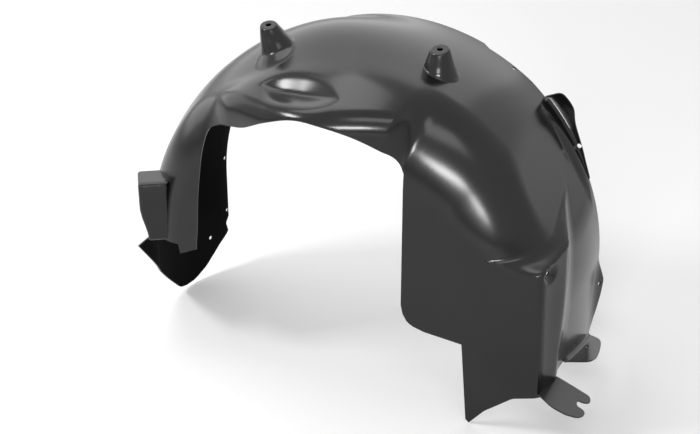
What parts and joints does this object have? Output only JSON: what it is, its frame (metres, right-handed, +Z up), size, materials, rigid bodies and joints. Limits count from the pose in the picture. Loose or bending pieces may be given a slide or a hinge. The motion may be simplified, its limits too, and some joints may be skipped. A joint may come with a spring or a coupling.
{
  "type": "wheel arch liner",
  "caption": "Moulded black plastic liner for a car's wheel arch: an arched tread with an inboard wall, a large cut-out, a dished pad, hollow fixing bosses and turned-out ears.",
  "frame": {"origin": "centre of the hole in the rear boss, on the boss's flat top", "axes": "+Z up, out of the rear boss hole; +X from the front leg to the rear leg; +Y from the inboard wall out to the fender rim"},
  "size_m": [0.8274, 0.3673, 0.5897],
  "materials": {
    "black_plastic": "satin moulded polypropylene, black"
  },
  "bodies": {
    "root": {"wheel_arch_liner": "black_plastic"}
  },
  "joints": []
}
